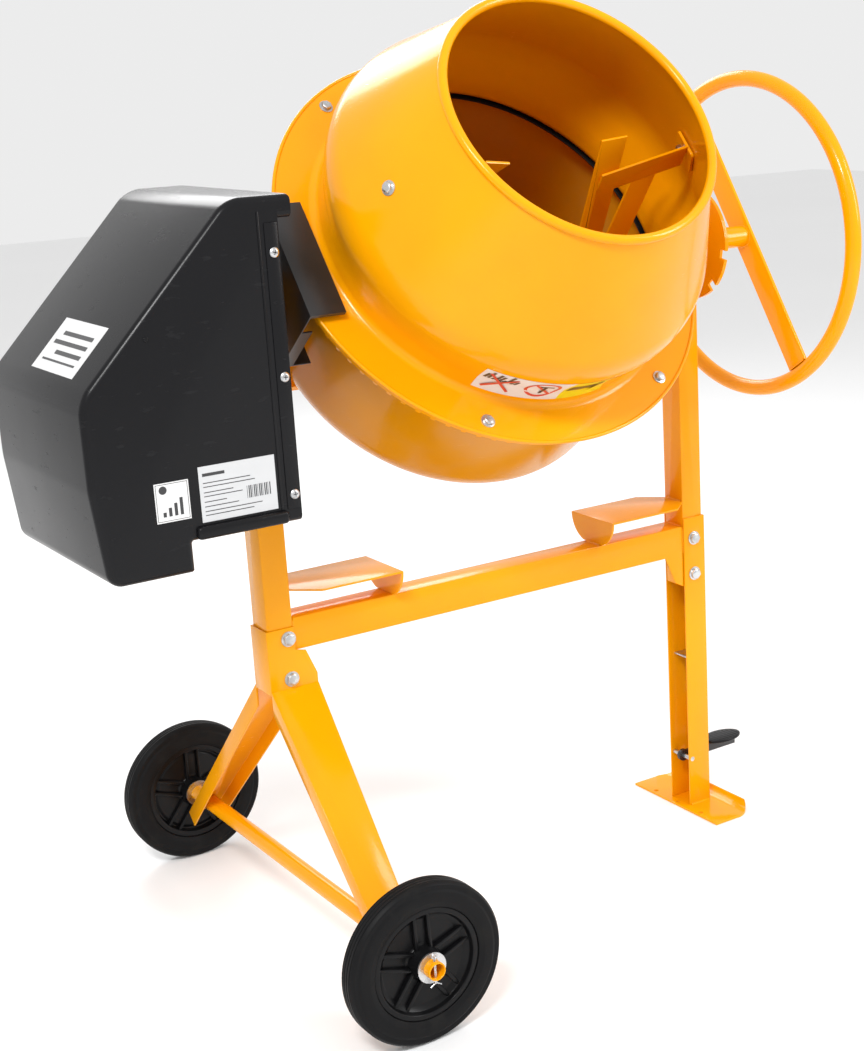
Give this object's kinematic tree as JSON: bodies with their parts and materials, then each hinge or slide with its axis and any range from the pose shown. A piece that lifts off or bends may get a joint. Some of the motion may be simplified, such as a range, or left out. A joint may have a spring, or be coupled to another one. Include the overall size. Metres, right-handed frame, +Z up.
{
  "type": "concrete mixer",
  "caption": "Portable electric concrete mixer: tilting gear-driven drum in a yoke, motor housing, handwheel, foot tilt lock and two transport wheels on a welded frame.",
  "frame": {"origin": "on the ground, midway between the outermost points across and front to back", "axes": "+Z up; +X across the machine from the drive housing towards the handwheel; +Y from the front, where the drum opens, towards the back"},
  "size_m": [1.1924, 0.804, 1.3161],
  "materials": {
    "frame_paint": "gloss yellow enamel",
    "drum_paint": "gloss yellow enamel",
    "zinc": "bright zinc plate",
    "bare_steel": "turned steel",
    "gear_iron": "dark cast iron",
    "black_paint": "satin black enamel",
    "black_plastic": "moulded black plastic",
    "rim_plastic": "moulded black plastic",
    "tyre_rubber": "black rubber",
    "seal_rubber": "black rubber",
    "belt_rubber": "black ribbed belt",
    "motor_aluminium": "die-cast aluminium",
    "bronze": "sintered bronze bush",
    "switch_plastic": "dark grey plastic",
    "green_button": "green plastic",
    "red_button": "red plastic",
    "inlet_plastic": "blue plastic"
  },
  "bodies": {
    "frame": {"left_upright": "frame_paint", "right_upright": "frame_paint", "crossbeam": "frame_paint", "bearing_housings": "frame_paint", "trunnion_bushes": "bronze", "leg_head": "frame_paint", "wheel_legs": "frame_paint", "axle_tube": "frame_paint", "axle_washers": "zinc", "split_pins": "zinc", "foot_leg": "frame_paint", "foot_plate": "frame_paint", "shelf_brackets": "frame_paint", "frame_bolts": "zinc", "frame_nuts": "zinc", "motor_cover": "black_plastic", "drive_plate": "black_paint", "cover_screws": "zinc", "motor_cradle": "black_paint", "motor_housing": "motor_aluminium", "drive_belt": "belt_rubber", "switch_box": "switch_plastic", "mains_inlet": "inlet_plastic", "pedal_pivot_pin": "zinc", "rod_guide": "zinc", "guide_screws": "zinc"},
    "tilting_yoke": {"yoke": "frame_paint", "left_trunnion": "bare_steel", "right_trunnion": "bare_steel", "pinion_bushes": "bronze", "lock_disc": "frame_paint", "handwheel": "frame_paint", "handwheel_spoke": "frame_paint", "pinion_guard": "black_paint", "drum_axle": "bare_steel", "drum_axle_nut": "zinc"},
    "drum": {"upper_drum": "drum_paint", "lower_drum": "drum_paint", "drum_seal": "seal_rubber", "ring_gear": "drum_paint", "drum_bolts": "zinc", "mixing_blades": "drum_paint", "blade_bolts": "zinc", "drum_hub": "gear_iron", "drum_bearings": "bare_steel"},
    "pinion_drive": {"pinion": "gear_iron", "pinion_shaft": "bare_steel", "drive_pulley": "motor_aluminium"},
    "motor_armature": {"motor_rotor": "bare_steel", "motor_pulley": "bare_steel"},
    "near_wheel": {"near_tyre": "tyre_rubber", "near_rim": "rim_plastic"},
    "far_wheel": {"far_tyre": "tyre_rubber", "far_rim": "rim_plastic"},
    "pedal": {"pedal_lever": "black_paint", "pedal_pad": "black_plastic"},
    "lock_slider": {"lock_rod": "zinc", "return_spring": "bare_steel"},
    "start_key": {"start_button": "green_button"},
    "stop_key": {"stop_button": "red_button"}
  },
  "joints": [
    {"name": "drum_tilt", "type": "hinge", "parent": "frame", "child": "tilting_yoke", "pos_m": [0.07075, 0, 0.943], "axis": [1, 0, 0], "range_deg": [-90, 80]},
    {"name": "drum_spin", "type": "hinge", "parent": "tilting_yoke", "child": "drum", "pos_m": [0.07075, 0, 0.943], "axis": [0, -0.7859, 0.6184], "continuous": true},
    {"name": "pinion_spin", "type": "hinge", "parent": "tilting_yoke", "child": "pinion_drive", "pos_m": [-0.23125, 0, 0.943], "axis": [1, 0, 0], "continuous": true},
    {"name": "motor_spin", "type": "hinge", "parent": "frame", "child": "motor_armature", "pos_m": [-0.40025, 0, 0.74], "axis": [1, 0, 0], "continuous": true},
    {"name": "near_wheel_spin", "type": "hinge", "parent": "frame", "child": "near_wheel", "pos_m": [-0.30025, -0.364, 0.1125], "axis": [0, 1, 0], "continuous": true},
    {"name": "far_wheel_spin", "type": "hinge", "parent": "frame", "child": "far_wheel", "pos_m": [-0.30025, 0.364, 0.1125], "axis": [0, 1, 0], "continuous": true},
    {"name": "pedal_swing", "type": "hinge", "parent": "frame", "child": "pedal", "pos_m": [0.42875, 0, 0.086], "axis": [0, 1, 0], "range_deg": [-20.5, 8.5]},
    {"name": "lock_slide", "type": "slide", "parent": "frame", "child": "lock_slider", "axis": [0, 0, 1], "range_m": [-0.0033, 0.0083], "stiffness_N_per_m": 1200, "springref_m": 0.00514, "deforming": ["return_spring"]},
    {"name": "start_push", "type": "slide", "parent": "frame", "child": "start_key", "axis": [0, -1, 0], "range_m": [0, 0.003], "stiffness_N_per_m": 400, "springref_m": -0.001},
    {"name": "stop_push", "type": "slide", "parent": "frame", "child": "stop_key", "axis": [0, -1, 0], "range_m": [0, 0.003], "stiffness_N_per_m": 400, "springref_m": -0.001}
  ],
  "couplings": [
    {"joint": "pinion_spin", "follows": "drum_spin", "ratio": 7.3333},
    {"joint": "motor_spin", "follows": "drum_spin", "ratio": 97.778},
    {"joint": "pedal_swing", "follows": "lock_slide", "rad_per_m": -41.667}
  ]
}
